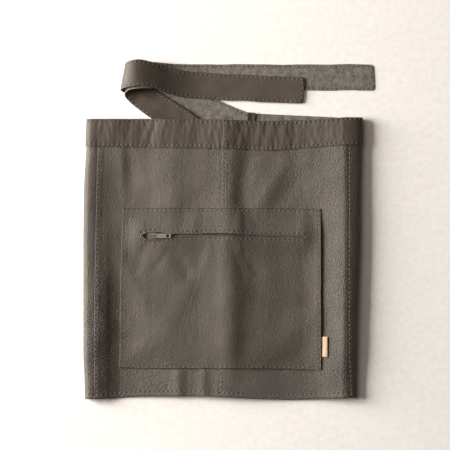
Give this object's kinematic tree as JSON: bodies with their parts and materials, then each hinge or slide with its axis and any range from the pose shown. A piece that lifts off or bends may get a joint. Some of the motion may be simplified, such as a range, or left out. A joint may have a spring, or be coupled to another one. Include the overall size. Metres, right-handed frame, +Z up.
{
  "type": "leather waist apron",
  "caption": "Leather waist apron laid flat and folded, with a zipped patch pocket, a waistband and long ties.",
  "frame": {"origin": "on the floor, under the middle of the apron with its ties", "axes": "+X to the right across the front, +Y from the hem towards the waistband and the ties, +Z up from the floor"},
  "size_m": [0.4216, 0.491, 0.0242],
  "materials": {
    "body_leather": "satin, smooth grain outside and suede inside",
    "band_leather": "satin",
    "tie_leather": "satin grain on one side, suede on the other",
    "pocket_leather": "satin",
    "zip_tape": "woven, matte",
    "zip_coil": "matte",
    "zip_metal": "worn satin metal",
    "label_leather": "smooth, natural tan"
  },
  "bodies": {
    "apron": {"front_panel_left": "body_leather", "front_panel_right": "body_leather", "side_panel_left": "body_leather", "side_panel_right": "body_leather", "waistband_left": "band_leather", "waistband_right": "band_leather", "tie_left": "tie_leather", "tie_right": "tie_leather", "pocket": "pocket_leather", "zip_tape_upper": "zip_tape", "zip_tape_lower": "zip_tape", "zip_chain": "zip_coil", "zip_slider": "zip_metal", "side_label": "label_leather"},
    "pull": {"zip_pull": "zip_metal"}
  },
  "joints": [
    {"name": "pull_hinge", "type": "hinge", "parent": "apron", "child": "pull", "pos_m": [-0.10952, -0.00819, 0.0165], "axis": [0, -1, 0], "range_deg": [0, 140]}
  ]
}
